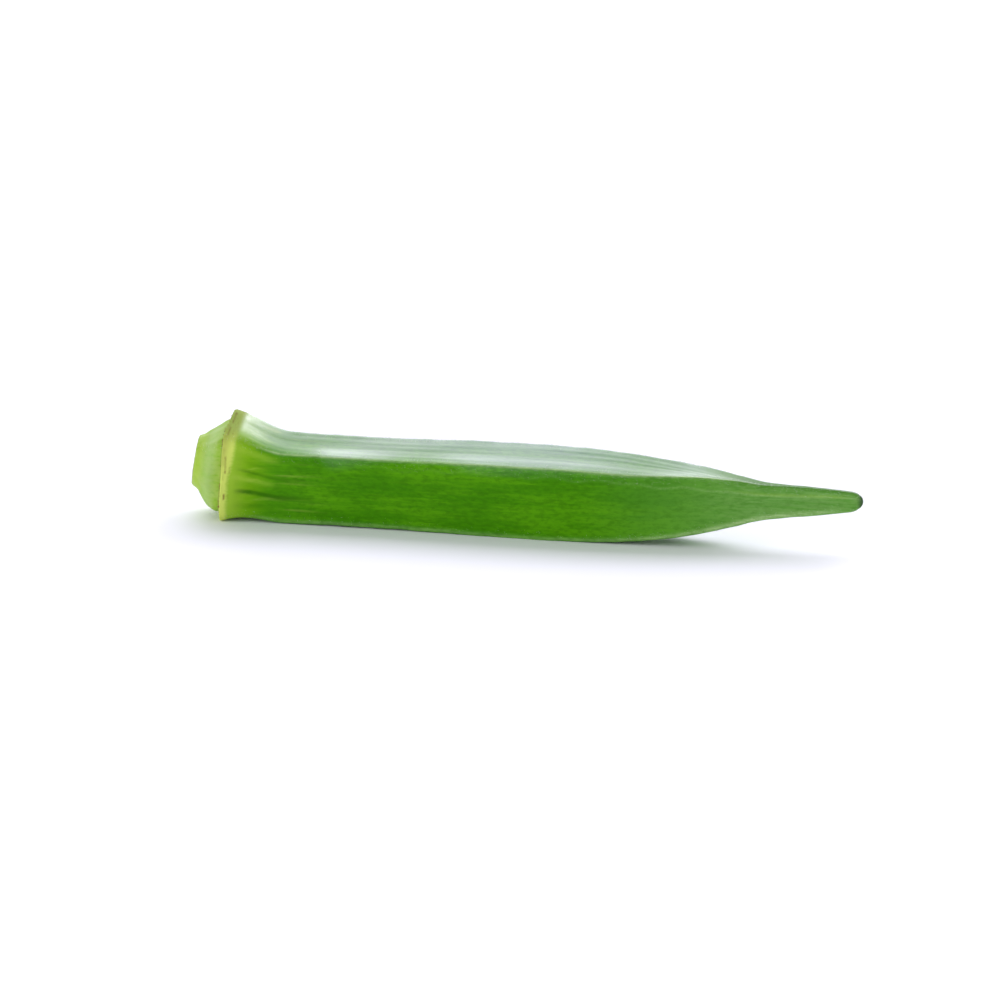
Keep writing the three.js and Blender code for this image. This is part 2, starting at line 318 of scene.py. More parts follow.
def side_place(along, angle):
    """0 on a rib and 1 in the middle of a side."""
    place = 0.0
    for i in range(RIBS):
        here, span = side(i, along)
        past = np.mod(angle - here, TURN)
        place = np.where(past < span, np.sin(math.pi * past / span), place)
    return place


def crest(along, angle, width, past=0.0):
    """1 on a rib's crest, or a little past it, falling away over a width in millimetres."""
    return sum(swell(arc_past(along, angle, rib_angle(i, along)), past, width) for i in range(RIBS))


def reach(along, angle):
    """How far the plain skin is from the middle line."""
    radius = girth(along)
    power = curve_through(SIDE_POWER, along)
    rounded = smooth_step(*CAP_ROUNDS_OVER, -along)
    sides = 0.0
    for i in range(RIBS):
        here, there = rib_angle(i, along), rib_angle(i + 1, along)
        near, far = (1 + (RIB_REACHES[k % RIBS] - 1) * (1 - rounded) for k in (i, i + 1))
        start_x, start_y = near * np.cos(here), near * np.sin(here)
        out_x = far * np.sin(there) - start_y
        out_y = start_x - far * np.cos(there)
        distance = out_x * start_x + out_y * start_y
        facing = np.cos(angle) * out_x + np.sin(angle) * out_y
        sides = sides + np.maximum(facing / distance, LEAST_FACING) ** power
    five_sided = (sides / 2) ** (-1 / power)
    return (
        radius * (five_sided * (1 - rounded) + rounded)
        + RIDGE_HEIGHT * crest(along, angle, RIDGE_WIDTH) * between(RIDGES_PLACES, along)
        + CAP_RIDGE_HEIGHT * crest(along, angle, CAP_RIDGE_WIDTH) * between(CAP_RIDGES_PLACES, along)
        - curve_through(VALLEY_DEPTH, along) * side_place(along, angle) ** 2
    )


def waves(name, along, angle):
    """Smooth chance unevenness: waves that close round the pod and drift along it."""
    height, turns, lengths, count, seed = WAVES[name]
    draw = np.random.default_rng(seed)
    total = 0.0
    for _ in range(count):
        around = draw.integers(turns[0], turns[1] + 1)
        length = draw.uniform(*lengths)
        sign = draw.choice((-1.0, 1.0))
        phase = draw.uniform(0, TURN)
        total = total + np.cos(around * angle + sign * TURN * along / length + phase)
    return height * (total / math.sqrt(count / 2))


def relief(along, angle):
    """The fine unevenness that the living skin adds to the plain form."""
    on_crest = crest(along, angle, CREST_LUMPS_WIDTH) * between(CREST_LUMPS_PLACES, along)
    return (
        (waves("lumps", along, angle) + waves("veins", along, angle)) * between(RELIEF_PLACES, along)
        + waves("crest_lumps", along, angle) * on_crest
        + waves("cap_folds", along, angle) * between(CAP_RELIEF_PLACES, along)
        + (LIP_LIFT + waves("torn_lip", along, angle)) * swell(along, LIP_AT, LIP_WIDTH)
        + waves("rim_nicks", along, angle) * (1 - smooth_step(*RIM_NICKS_END_OVER, along))
        - sum(depth * swell(along, place, width) for depth, place, width in GROOVES)
    )


def middle_line(along):
    """How far the pod's middle is bowed to the side, and how far it is raised."""
    raised = RING_LIFT * (1 - smooth_step(*RING_LIFT_OVER, along))
    stem = STEM_RISE * smooth_step(0.0, -CUT_AT, -along)
    sag = CAP_SAG * swell(along, CAP_SAG_AT, CAP_SAG_WIDTH)
    beak = smooth_step(*TIP_LIFT_OVER, along) / smooth_step(*TIP_LIFT_OVER, TIP_AT)
    bow = SIDE_BOW * np.sin(math.pi * np.clip(along / TIP_AT, 0.0, 1.0))
    return bow, raised + stem - sag + TIP_LIFT * beak


def rolled_points(along, angle, radius, sunk=0.0):
    """Points at a distance from the middle line, slanted by the ring and turned the way the pod rests."""
    slant = (
        (RING_SLANT_TOP * np.sin(angle) + RING_SLANT_NEAR * np.cos(angle))
        * (1 - smooth_step(0.0, SLANT_FADES_OVER, along))
        * (1 - (1 - SLANT_LEFT_AT_CUT) * smooth_step(0.0, -CUT_AT, -along))
    )
    bow, rise = middle_line(along)
    roll, tilt = math.radians(REST_ROLL), math.radians(REST_TILT)
    x = along + slant * np.minimum(1.0, radius / np.maximum(girth(along), LEAST_GIRTH)) + sunk
    y = bow - radius * np.cos(angle)
    z = rise + radius * np.sin(angle)
    y, z = y * math.cos(roll) - z * math.sin(roll), y * math.sin(roll) + z * math.cos(roll)
    x, z = x * math.cos(tilt) - z * math.sin(tilt), x * math.sin(tilt) + z * math.cos(tilt)
    return np.stack(np.broadcast_arrays(x, y, z), axis=-1).reshape(-1, 3)


def stations():
    """Where the skin has a ring of points, as distances along the pod."""
    along = [CUT_AT]
    for low, high, steps in STRETCHES:
        along.extend(np.linspace(low, high, steps + 1)[1:])
    turns = np.arange(1, DOME_STEPS) / DOME_STEPS
    along.extend(TIP_AT - TIP_DOME + TIP_DOME * np.sin(math.pi / 2 * turns))
    return np.array(along)


def angles_round(along, steps=STEPS_PER_SIDE):
    """A row of angles for each distance along, which crowd towards the ribs."""
    t = np.arange(steps) / steps
    crowded = t - CRESTWARD * np.sin(TURN * t) / TURN
    sides = (side(i, along[:, None]) for i in range(RIBS))
    return np.concatenate([here + span * crowded for here, span in sides], axis=1)


def find_place():
    """How far the plain form has to move to lie over the solid's box, in X and Y."""
    along = np.linspace(CUT_AT, TIP_AT, PLACE_STEPS)
    angle = angles_round(along)
    along = along[:, None]
    laid = rolled_points(along, angle, reach(along, angle))
    middle = (laid.min(axis=0) + laid.max(axis=0))[:2] / 2
    low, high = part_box(NODE)
    return np.array([(low.x + high.x) / 2, (low.y + high.y) / 2]) / MM - middle


PLACE = find_place()


def skin_points(along, angle, share=1.0, lift=0.0, sunk=0.0):
    """Points of the skin where the pod lies, in metres: a share of the way out, lifted off it or sunk along X.

    They are pressed flat where the pod touches the floor, and moved over the solid's place.
    """
    radius = (reach(along, angle) + relief(along, angle) + lift) * share
    laid = rolled_points(along, angle, radius, sunk)
    laid[:, 2] = np.maximum(laid[:, 2] + REST_HEIGHT, 0.0)
    laid[:, :2] += PLACE
    return laid * MM


def vein(along, angle):
    """1 on the faint line that runs along each side, which isn't always in its middle."""
    drift = smooth_step(*RIBS_DRIFT_OVER, along)
    wander = (VEIN_WANDER + (BEAK_VEIN_WANDER - VEIN_WANDER) * drift) * waves("vein_wander", along, 0.0)
    total = 0.0
    for i, (place, beak_place) in enumerate(zip(VEIN_PLACES, VEIN_BEAK_PLACES)):
        here, span = side(i, along)
        there = here + (place + (beak_place - place) * drift + wander) * span
        total = total + swell(arc_past(along, angle, there), 0.0, VEIN_WIDTH)
    return total


def wax_and_painted_sheen(along, angle):
    """1 where the uppermost side has its waxen film and a painted sheen, which lie thinner on the sides behind
    it.
    """
    ribs = [rib_angle(i, along) for i in WAX_SHEEN_RIBS]
    climb, behind, under = (turned_past(angle, here) / (there - here) for here, there in zip(ribs, ribs[1:]))
    full = smooth_step(*WAX_SHEEN_CLIMBS_OVER, climb + curve_through(WAX_SHEEN_WIDENS, along))
    thinner = 1 - (1 - WAX_SHEEN_BEHIND) * smooth_step(*WAX_SHEEN_THINS_OVER, behind)
    above = 1 - smooth_step(*WAX_SHEEN_ENDS_OVER, under)
    lengthwise = smooth_step(*WAX_SHEEN_STARTS_OVER, along) * curve_through(WAX_SHEEN_STRENGTH, along)
    loss, place, width = WAX_SHEEN_STREAK
    streak = 1 - loss * swell(climb, place, width) * smooth_step(*WAX_SHEEN_STREAK_OVER, along)
    return full * thinner * above * lengthwise * streak


def neck_lines(along, angle):
    """Long marks along the skin: above 0 where they are pale and below 0 where they are dark."""
    return sum(
        tone * swell(arc_past(along, angle, math.radians(degrees)), 0.0, width) * between(places, along)
        for degrees, width, tone, places in NECK_LINES
    )


def dry_dashes(angle):
    """1 where the ring has dried to a brown line, in long dashes round it."""
    fades, ends = DASH_FADES_OVER
    return sum(
        1 - smooth_step(math.radians(half) * fades, math.radians(half) * ends,
                        np.abs(turned_past(angle, math.radians(degrees))))
        for degrees, half in DRY_DASHES
    )


# ---------------------------------------------------------------- meshes

def ring(i, around, start=0):
    """The vertices of a closed ring, by its place in a stack of rings."""
    return range(start + i * around, start + (i + 1) * around)


def turned(closed):
    """A closed ring of vertices, each in place of the one before it."""
    return [*closed[1:], closed[0]]


def ring_stack(rings):
    """Quads that join each closed ring of vertices to the next."""
    faces = []
    for first, second in zip(rings, rings[1:]):
        faces += zip(first, turned(first), turned(second), second)
    return faces


def band_faces(rings, around):
    """The same over the skin, whose rings turn the other way."""
    faces = []
    for i in range(rings - 1):
        near, far = ring(i, around), ring(i + 1, around)
        faces += zip(near, far, turned(far), turned(near))
    return faces


def fan(closed, point):
    """Triangles from a closed ring of vertices to one point."""
    return [(a, b, point) for a, b in zip(closed, turned(closed))]


def new_object(name, data):
    made = bpy.data.objects.new(name, data)
    bpy.context.scene.collection.objects.link(made)
    return made


def add_object(name, points, faces, smooth=True):
    mesh = bpy.data.meshes.new(name)
    mesh.from_pydata([tuple(p) for p in points], [], faces)
    mesh.polygons.foreach_set("use_smooth", [smooth] * len(mesh.polygons))
    mesh.update()
    return new_object(name, mesh)


def grid_mesh(name, along, angle, lift=0.0):
    return add_object(name, skin_points(along[:, None], angle, lift=lift), band_faces(*angle.shape))


def store(mesh, name, values):
    attribute = mesh.attributes.new(name, "FLOAT", "POINT")
    attribute.data.foreach_set("value", np.asarray(values, dtype=np.float32).ravel())


def heights_of(made):
    """The height of each vertex, in metres."""
    return np.array([vertex.co.z for vertex in made.data.vertices])


# ---------------------------------------------------------------- node trees

def colour(red, green, blue):
    """A screen colour of 0 to 255 as Blender's linear one."""
    shares = np.array((red, green, blue)) / 255.0
    linear = np.where(shares <= 0.04045, shares / 12.92, ((shares + 0.055) / 1.055) ** 2.4)
    return tuple(float(v) for v in linear)


class Wire:
    """A node's output that Python's operators work on."""

    def __init__(self, sheet, socket):
        self.sheet = sheet
        self.socket = socket

    def maths(self, operation, *values):
        return self.sheet.node("ShaderNodeMath", dict(enumerate(values)), operation=operation)

    def __add__(self, other):
        return self.maths("ADD", self, other)

    def __radd__(self, other):
        return self.maths("ADD", other, self)

    def __sub__(self, other):
        return self.maths("SUBTRACT", self, other)

    def __rsub__(self, other):
        return self.maths("SUBTRACT", other, self)

    def __mul__(self, other):
        return self.maths("MULTIPLY", self, other)

    def __rmul__(self, other):
        return self.maths("MULTIPLY", other, self)

    def at_least(self, other):
        return self.maths("MAXIMUM", self, other)

    def step(self, low, high):
        """0 below low, 1 above high, and a smooth rise between them."""
        values = {"Value": self, "From Min": low, "From Max": high}
        return self.sheet.node("ShaderNodeMapRange", values, interpolation_type="SMOOTHSTEP")

    def between(self, start, full, fading, end):
        """0, then 1 between the second and third of four places, then 0 again."""
        return self.step(start, full) * (1 - self.step(fading, end))

    def strayed(self, pattern, width):
        """Moved to and fro by a chance pattern, over a width."""
        return self + pattern * width - width / 2

    def bump_at(self, place, width):
        """1 at a place, falling smoothly to 0 a width away on both sides."""
        return 1 - self.maths("ABSOLUTE", self - place).step(0.0, width)


class Sheet:
    """Adds nodes to a tree, for a material, a world or geometry."""

    def __init__(self, tree):
        self.tree = tree

    def node(self, kind, inputs=None, output=0, **settings):
        """Adds a node with its settings, wires or sets its inputs, and gives one of its outputs."""
        made = self.tree.nodes.new(kind)
        for name, value in settings.items():
            setattr(made, name, value)
        for key, value in (inputs or {}).items():
            if isinstance(value, Wire):
                self.tree.links.new(value.socket, made.inputs[key])
            else:
                made.inputs[key].default_value = value
        return Wire(self, made.outputs[output]) if len(made.outputs) else None


class Finish(Sheet):
    """One material: its colour, roughness and bump are wired to a Principled surface."""

    def __init__(self, name):
        self.material = bpy.data.materials.new(name)
        self.material.use_nodes = True
        super().__init__(self.material.node_tree)
        self.tree.nodes.clear()

    def attributes(self, *names):
        return (self.node("ShaderNodeAttribute", output="Fac", attribute_name=name) for name in names)

    def place(self, lengthwise):
        """The piece's own coordinates in millimetres, scaled along X."""
        here = self.node("ShaderNodeTexCoord", output="Object")
        return self.node("ShaderNodeMapping", {"Vector": here, "Scale": (lengthwise / MM, 1 / MM, 1 / MM)})

    def patterns(self, *names):
        """Chance patterns by their names, each about 0.5 on average."""
        for name in names:
            lengthwise, scale, detail, roughness = PATTERNS[name]
            values = {
                "Vector": self.place(lengthwise), "Scale": scale, "Detail": detail, "Roughness": roughness,
            }
            yield self.node("ShaderNodeTexNoise", values)

    def specks(self, lengthwise, scale, size):
        """1 in small round specks that are spread by chance."""
        values = {"Vector": self.place(lengthwise), "Scale": scale}
        return 1 - self.node("ShaderNodeTexVoronoi", values, output="Distance").step(size * 0.4, size)

    def layers(self, base, *coats):
        """A base colour under coats, each of them a factor and a colour."""
        def as_colour(value):
            return value if isinstance(value, Wire) else (*value, 1.0)

        for factor, coat in coats:
            values = {0: factor, 6: as_colour(base), 7: as_colour(coat)}
            base = self.node("ShaderNodeMix", values, output=2, data_type="RGBA")
        return base

    def surface(self, base, roughness, height=None, depth=0.1, **fixed):
        """The finished material, with bumps of a depth where a height is given."""
        inputs = {"Base Color": base, "Roughness": roughness}
        if height is not None:
            values = {"Height": height, "Distance": depth * MM, "Strength": 1.0}
            inputs["Normal"] = self.node("ShaderNodeBump", values)
        for name, value in fixed.items():
            inputs[name.replace("_", " ").title().replace("Ior", "IOR")] = value
        shader = self.node("ShaderNodeBsdfPrincipled", inputs)
        self.node("ShaderNodeOutputMaterial", {"Surface": shader})
        return self.material


# ---------------------------------------------------------------- settings

def tone(name, description, *screen):
    """A colour setting whose default is a screen colour of 0 to 255."""
    return FloatVectorProperty(
        name=name, description=description, subtype="COLOR", min=0, max=1, default=colour(*screen)
    )


class OkraColours(bpy.types.PropertyGroup):
    deep_green: tone("Deep green", "The full green of the sides", 58, 124, 6)
    fresh_green: tone("Fresh green", "The lighter streaks in the sides", 80, 146, 10)
    neck_green: tone("Neck green", "The yellow green next to the ring", 126, 174, 22)
    ring_cream: tone("Ring cream", "The pale band along the ring", 204, 218, 104)
    cap_green: tone("Cap green", "The light green of the cap and stem", 150, 178, 76)
    # Also the colour of the painted highlight along the crests
    rib_green: tone("Rib green", "The pale crest of each rib", 176, 204, 142)
    beak_green: tone("Beak green", "The greyer green towards the tip", 90, 144, 60)
    dry_brown: tone("Dry brown", "Dried edges at the ring, the cut and the tip", 118, 92, 50)
    scar: tone("Scar", "The dark line round the end of the tip", 56, 76, 54)
    pith: tone("Pith", "The pale middle of the cut stem", 206, 212, 158)
    # Partly the pale wax, partly a painted sheen: a blue-grey that stands in for the sky's reflection on the
    # uppermost side
    wax_and_painted_sheen: tone("Bloom", "The thin wax on the uppermost sides", 132, 150, 166)
    down: tone("Down", "The short hairs on the skin", 226, 238, 214)


def number(name, description, default, **more):
    return FloatProperty(name=name, description=description, default=default, **more)


class OkraSizes(bpy.types.PropertyGroup):
    hair_length: number("Hair length", "Length of the longest hairs", 0.55 * MM, unit="LENGTH", min=0)
    hair_density: number("Hair density", "Most hairs on a square metre of skin", 6.5e6, min=0)
    flake_length: number(
        "Flake length", "Length of the longest dry flakes on the ring", 0.4 * MM, unit="LENGTH", min=0
    )
    flake_density: number("Flake density", "Most flakes on a square metre of the ring's lip", 3.2e6, min=0)
    chance: IntProperty(name="Seed", description="Seed of the scattered hairs and flakes", default=SEED, min=0)


class OkraStage(bpy.types.PropertyGroup):
    camera_turn: number(
        "Camera turn", "How far the camera stands round towards the tip", math.radians(14.25), subtype="ANGLE"
    )
    camera_height: number("Camera height", "How far the camera looks down", math.radians(14.0), subtype="ANGLE")
    camera_distance: number("Camera distance", "From the pod's middle", 0.5578, unit="LENGTH", min=0.1)
    lens: number("Lens", "Focal length in millimetres", 100.0, min=10.0)
    aim_left: number("Aim left", "How far the view is moved to the left", 3.38 * MM, unit="LENGTH")
    aim_down: number("Aim down", "How far the view is moved down", 2.2 * MM, unit="LENGTH")
    floor: FloatVectorProperty(
        name="Floor", description="Colour of the floor", subtype="COLOR", min=0, max=1,
        default=(0.94, 0.95, 0.96),
    )


# ---------------------------------------------------------------- finishes

def skin_finish(tones):
    """The living skin: green with streaks, paler ribs with a painted highlight, a cream band at the ring, a
    light cap and a dull tip, with a painted sheen on the uppermost side and painted shade on the beak's upper
    rim.
    """
    make = Finish("okra_skin")
    along, crest_line_and_highlight, vein_line, up, wax_and_sheen_mask, neck, dash = make.attributes(
        "along", "crest", "vein", "up", "wax_and_painted_sheen", "neck", "dash"
    )
    streaks, fine_streaks, blotches, grain, mottle, neck_streaks, cap_streaks, dashes = make.patterns(
        "streaks", "fine_streaks", "blotches", "grain", "mottle", "neck_streaks", "cap_streaks", "dashes"
    )
    shaded = tuple(c * SHADED for c in tones.deep_green)
    pale = make.layers(tones.neck_green, (PALE, tones.ring_cream))

    # The sides. Each mask says how strongly a colour shows, from 0 to 1.
    towards_tip = along.step(*TIP_DULLS_OVER)
    light_streaks = (streaks * 0.5 + fine_streaks * 0.4 + blotches * 0.8).step(0.72, 1.02)
    beak_streaks = along.step(*BEAK_STREAKS_OVER) * (fine_streaks.step(0.35, 0.65) * 0.12 + 0.03)
    dark_mottle = (1 - mottle).step(0.42, 0.68) * (0.5 - towards_tip * 0.25)
    light_mottle = mottle.step(0.52, 0.7) * (1 - towards_tip) * 0.3
    veins = vein_line * grain.step(0.35, 0.6) * (0.08 + towards_tip * 0.2) * along.step(*VEINS_OVER)
    # The pale neck ends raggedly, and it reaches further along on the upper side: painted light
    ragged_edge_lit_above = along.strayed(streaks, 9.0) - up * 3.0
    fresh_neck = (1 - ragged_edge_lit_above.step(*FRESH_NECK_OVER)) * 0.7
    yellow_neck = (1 - (ragged_edge_lit_above * 0.5 + along * 0.5).step(*YELLOW_NECK_OVER)) * 0.95
    at_neck = along.between(*NECK_STREAKS_PLACES)
    dark_neck_streaks = neck_streaks.step(0.5, 0.72) * at_neck * 0.45
    pale_neck_streaks = (1 - neck_streaks).step(0.52, 0.75) * at_neck * 0.2
    marks = neck * (0.5 + mottle)
    dark_marks, pale_marks = (0 - marks).step(0.0, 0.9) * 0.9, marks.step(0.0, 0.9) * 0.45
    # Painted sheen: the wax tint pales and greys the uppermost side where the sky's reflection falls
    wax_and_sheen = wax_and_sheen_mask * (0.12 + along.step(*WAX_AND_SHEEN_GROW_OVER) * 0.26)
    # Painted shade: the beak's upper side is darkened towards the shaded green
    beak_rim_painted_shade = along.step(*BEAK_RIM_OVER) * up.step(*BEAK_RIM_UP_OVER) * 0.5
    low_side = 1 - up.step(*LOW_SIDE_UP_OVER)
    broken = 0.45 + (fine_streaks * 0.5 + mottle * 0.5).step(0.35, 0.65) * 0.55
    upper_lines_end = 1 - along.step(*UPPER_RIB_LINES_END_OVER) * up.step(*UPPER_SIDE_UP_OVER)
    # Painted shade: the rib lines dim on the low side, except towards the tip
    low_lines_painted_shade = 1 - low_side * (1 - towards_tip) * 0.6
    # Pale rib lines: the crest's own paler tone, with a painted highlight just past it
    rib_lines_and_highlight = crest_line_and_highlight * broken * 0.65 * along.between(*RIB_LINES_PLACES)
    skin = make.layers(
        tones.deep_green,
        (light_streaks, tones.fresh_green),
        (towards_tip * 0.8, tones.beak_green),
        (beak_streaks, tones.rib_green),
        (dark_mottle, shaded),
        (light_mottle, tones.fresh_green),
        (veins, tones.rib_green),
        (fresh_neck, tones.fresh_green),
        (yellow_neck, tones.neck_green),
        (dark_neck_streaks, tones.deep_green),
        (pale_neck_streaks, tones.ring_cream),
        (dark_marks, shaded),
        (pale_marks, pale),
        (wax_and_sheen, tones.wax_and_painted_sheen),
        (beak_rim_painted_shade, shaded),
        (rib_lines_and_highlight * upper_lines_end * low_lines_painted_shade, tones.rib_green),
        ((1 - along.step(*CREAM_NECK_OVER)) * 0.22, tones.ring_cream),
    )

    # The band along the ring, which is olive brown on top, and the cap
    past_band = along - (up.step(-0.3, 0.8) * 1.4 + 0.5)
    in_band = (1 - past_band.strayed(fine_streaks, 0.8).step(0.1, 1.3)) * along.step(*BAND_STARTS_OVER)
    olive_top = make.layers(tones.cap_green, (grain.step(0.4, 0.7) * 0.3 + 0.1, tones.dry_brown))
    band = make.layers(
        tones.ring_cream,
        ((1 - past_band.step(-1.4, -0.1)) * up.step(-0.2, 0.4) * 0.3, tones.dry_brown),
        (up.step(0.5, 0.9) * 0.9, olive_top),
        ((1 - along.step(*BAND_FACE_OVER)) * 0.6, tones.cap_green),
    )
    on_cap = 1 - along.step(*CAP_ENDS_OVER)
    cap = make.layers(
        tones.cap_green,
        (cap_streaks.step(0.42, 0.66) * 0.5, tones.neck_green),
        ((1 - mottle).step(0.5, 0.7) * 0.25, tones.fresh_green),
        (along.bump_at(*CAP_PALE_BAND) * 0.6, pale),
        (along.strayed(cap_streaks, 1.2).bump_at(*CAP_BLUISH_BAND) * 0.35, tones.rib_green),
    )

    # What has dried: lines on the ring, the groove before it, the stem's rim and the tip's end
    frayed = along.strayed(grain, 0.3)
    dashes = dashes.step(0.5, 0.62)
    first_line = frayed.bump_at(*DRY_LINE) * (dash * (dashes * 0.5 + 0.5)) * 0.8
    second_line = frayed.bump_at(*SECOND_DRY_LINE) * dash * dashes * 0.35
    groove = frayed.bump_at(*DRY_GROOVE) * (0.15 + (1 - dashes) * 0.25)
    rim = (1 - (along + grain * 0.25).step(*DRY_RIM_OVER)) * 0.7
    dry = first_line.at_least(rim).at_least(groove).at_least(second_line)
    scar = (along + grain * 0.3).step(*SCAR_OVER) * 0.85
    skin = make.layers(skin, (in_band, band), (on_cap, cap), (dry, tones.dry_brown), (scar, tones.scar))

    height = streaks * 0.3 + fine_streaks * 0.3 + grain * 0.12
    roughness = 0.2 + streaks * 0.08 + dry * 0.3 + in_band * 0.3 + on_cap * 0.32
    roughness = roughness + along.step(*TIP_ROUGHENS_OVER) * 0.25
    roughness = roughness + (1 - along.step(*NECK_SHINES_OVER)) * (1 - wax_and_sheen_mask) * (1 - on_cap) * 0.25
    return make.surface(
        skin, roughness, height, 0.03, specular_ior_level=0.6, specular_tint=(0.15, 0.3, 0.03, 1.0),
        coat_weight=wax_and_sheen_mask * (0.5 + streaks * 0.8), coat_roughness=0.25, coat_ior=1.95,
    )


def cut_finish(tones):
    """The cut stem: a dry rim, a ring of bundles and a pale pith, by the share of the way out."""
    make = Finish("okra_cut")
    out, = make.attributes("out")
    fibres, stain = make.patterns("cut_fibres", "stain")
    wander = out.strayed(fibres, 0.16)
    bundles = wander.bump_at(BUNDLES_AT, 0.13) * make.specks(0.0, 1.15, 0.5)
    flesh = make.layers(
        tones.pith,
        (wander.step(0.15, 0.75), tones.cap_green),
        (bundles * 0.7, tones.dry_brown),
        (wander.step(0.84, 0.98) * 0.7, tones.dry_brown),
        (stain.step(0.45, 0.7) * 0.3, tones.dry_brown),
    )
    return make.surface(flesh, 0.62 + fibres * 0.1, fibres + bundles * 0.6, 0.12)


def dry_finish(tones):
    """Dried tissue: tan and brown, matt and papery."""
    make = Finish("okra_dry")
    grain, = make.patterns("dry_grain")
    tan = tuple(min(1.0, c * 2.6 + 0.05) for c in tones.dry_brown)
    shade = make.layers(tones.dry_brown, (grain.step(0.35, 0.7), tan))
    return make.surface(shade, 0.8 + grain * 0.1, grain, 0.05)


def down_finish(tones):
    """Short hairs: pale and silky."""
    make = Finish("okra_down")
    varied, = make.patterns("hair_tone")
    shade = make.layers(tones.down, (varied * 0.35, tones.rib_green))
    return make.surface(shade, 0.5 + varied * 0.1, sheen_weight=0.3)


def floor_finish(stage):
    """A pale matt floor that is a little uneven in tone."""
    make = Finish("pale_floor")
    varied, = make.patterns("floor_tone")
    shade = make.layers(stage.floor, (varied * 0.04, tuple(c * 0.96 for c in stage.floor)))
    return make.surface(shade, 0.7, specular_ior_level=0.2)


# ---------------------------------------------------------------- scattering

def scatter_tree(name, material):
    """Geometry nodes: spreads a small shape over the mesh by its own density, leaning and sized by chance."""
    tree = bpy.data.node_groups.new(name, "GeometryNodeTree")
    for label, kind, way in (
        ("Geometry", "Geometry", "INPUT"), ("Shape", "Object", "INPUT"), ("Density", "Float", "INPUT"),
        ("Seed", "Int", "INPUT"), ("Smallest", "Float", "INPUT"), ("Largest", "Float", "INPUT"),
        ("Lean", "Vector", "INPUT"), ("Spread", "Float", "INPUT"), ("Geometry", "Geometry", "OUTPUT"),
    ):
        tree.interface.new_socket(label, in_out=way, socket_type="NodeSocket" + kind)
    sheet = Sheet(tree)
    entry = tree.nodes.new("NodeGroupInput")
    given = {socket.name: Wire(sheet, socket) for socket in entry.outputs if socket.name}
    share = sheet.node("GeometryNodeInputNamedAttribute", {"Name": "share"}, "Attribute", data_type="FLOAT")
    points = sheet.node(
        "GeometryNodeDistributePointsOnFaces",
        {"Mesh": given["Geometry"], "Density": share * given["Density"], "Seed": given["Seed"]},
        "Points", distribute_method="RANDOM",
    )
    normal, rotation = (Wire(sheet, points.socket.node.outputs[name]) for name in ("Normal", "Rotation"))
    chance = sheet.node(
        "FunctionNodeRandomValue", {0: (-1.0,) * 3, 1: (1.0,) * 3, "Seed": given["Seed"]},
        data_type="FLOAT_VECTOR",
    )
    strayed = sheet.node("ShaderNodeVectorMath", {0: chance, "Scale": given["Spread"]}, operation="SCALE")
    leaning = sheet.node("ShaderNodeVectorMath", {0: normal, 1: given["Lean"]}, operation="ADD")
    leaning = sheet.node("ShaderNodeVectorMath", {0: leaning, 1: strayed}, operation="ADD")
    pose = sheet.node("FunctionNodeAlignRotationToVector", {"Rotation": rotation, "Vector": leaning}, axis="Z")
    size = sheet.node(
        "FunctionNodeRandomValue", {2: given["Smallest"], 3: given["Largest"], "Seed": given["Seed"] + 5}, 1,
        data_type="FLOAT",
    )
    shape = sheet.node("GeometryNodeObjectInfo", {"Object": given["Shape"], "As Instance": True}, "Geometry")
    placed = sheet.node(
        "GeometryNodeInstanceOnPoints", {"Points": points, "Instance": shape, "Rotation": pose, "Scale": size}
    )
    real = sheet.node("GeometryNodeRealizeInstances", {"Geometry": placed})
    dressed = sheet.node("GeometryNodeSetMaterial", {"Geometry": real, "Material": material})
    sheet.node("NodeGroupOutput", {"Geometry": dressed})
    return tree


def scatter(name, seat, shape, material, density, length, seed):
    """Spreads a shape over a seat mesh and keeps the result as a plain mesh object."""
    smallest, lean, spread = GROWTHS[name]
    values = {
        "Shape": shape, "Density": density, "Seed": seed, "Smallest": smallest * length / MM,
        "Largest": length / MM, "Lean": (lean, 0.0, 0.0), "Spread": spread,
    }
    modifier = seat.modifiers.new(name, "NODES")
    modifier.node_group = scatter_tree(name + "_tree", material)
    for item in modifier.node_group.interface.items_tree:
        if item.in_out == "INPUT" and item.name in values:
            modifier[item.identifier] = values[item.name]
    bpy.context.view_layer.update()
    seen = seat.evaluated_get(bpy.context.evaluated_depsgraph_get())
    mesh = bpy.data.meshes.new_from_object(seen)
    mesh.name = name
    for spare in (seat, shape):
        bpy.data.objects.remove(spare)
    return new_object(name, mesh)


def hair_shape():
    """One hair a millimetre long: a bent three-sided spike, rooted a little below the skin."""
    points = [
        ((bend + radius * math.cos(a)) * MM, radius * math.sin(a) * MM, height * MM)
        for height, bend, radius in HAIR_RINGS
        for a in (TURN * k / HAIR_SIDES for k in range(HAIR_SIDES))
    ]
    points.append(tuple(v * MM for v in HAIR_POINT))
    root, neck = ring(0, HAIR_SIDES), ring(1, HAIR_SIDES)
    faces = ring_stack((root, neck)) + fan(neck, len(points) - 1) + [tuple(reversed(root))]
    return add_object("hair_shape", points, faces)


def flake_shape():
    """One dry flake a millimetre long: a thin curled blade with a ragged end."""
    points = []
    for height, half in FLAKE_STEPS:
        curl = FLAKE_CURL * height * height
        back, narrow = curl + FLAKE_THICK, half * FLAKE_TAPER
        for x, y in ((curl, -half), (curl, half), (back, narrow), (back, -narrow)):
            points.append((x * MM, y * MM, (height - FLAKE_ROOT) * MM))
    steps = [ring(i, 4) for i in range(len(FLAKE_STEPS))]
    faces = ring_stack(steps) + [tuple(reversed(steps[0])), tuple(steps[-1])]
    return add_object("flake_shape", points, faces, smooth=False)


def claim(piece):
    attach(piece, BODY)


# ---------------------------------------------------------------- operators

